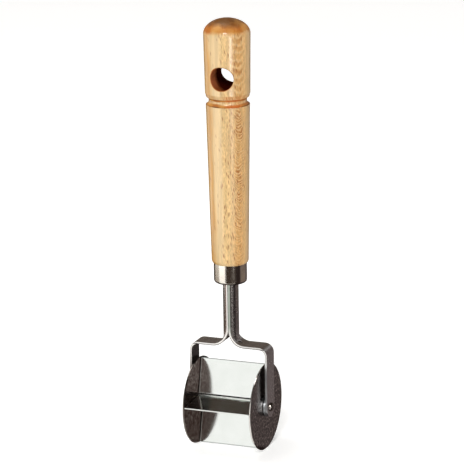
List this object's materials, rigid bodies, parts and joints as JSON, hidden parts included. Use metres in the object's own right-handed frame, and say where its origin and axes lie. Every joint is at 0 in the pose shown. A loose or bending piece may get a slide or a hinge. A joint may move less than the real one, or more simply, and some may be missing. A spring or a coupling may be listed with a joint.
{
  "type": "rolling square ravioli cutter",
  "caption": "Hand-held rolling cutter for square ravioli: a bladed roller spins in a steel fork on a turned wooden handle with a hanging hole.",
  "frame": {"origin": "centre of the hanging hole, on the handle's axis", "axes": "+Z along the handle to its domed end, X along the roller's axle, -Y towards the user"},
  "size_m": [0.0518, 0.051, 0.2525],
  "materials": {
    "beech": "clear varnish over turned beech",
    "ferrule_steel": "drawn and nickel plated",
    "fork_steel": "bent strip, nickel plated",
    "axle_steel": "plain bright steel",
    "disc_steel": "stamped sheet, grey with fine speckle",
    "blade_steel": "bright polished sheet"
  },
  "bodies": {
    "handle_and_fork": {"handle": "beech", "ferrule": "ferrule_steel", "fork_arm_left": "fork_steel", "fork_arm_right": "fork_steel", "axle_rod": "axle_steel", "spacer_washer_left": "axle_steel", "spacer_washer_right": "axle_steel"},
    "roller": {"end_disc_left": "disc_steel", "end_disc_right": "disc_steel", "blade_angle_front": "blade_steel", "blade_angle_rear": "blade_steel"}
  },
  "joints": [
    {"name": "roller_spin", "type": "hinge", "parent": "handle_and_fork", "child": "roller", "pos_m": [0, 0, -0.19435], "axis": [1, 0, 0], "continuous": true}
  ]
}
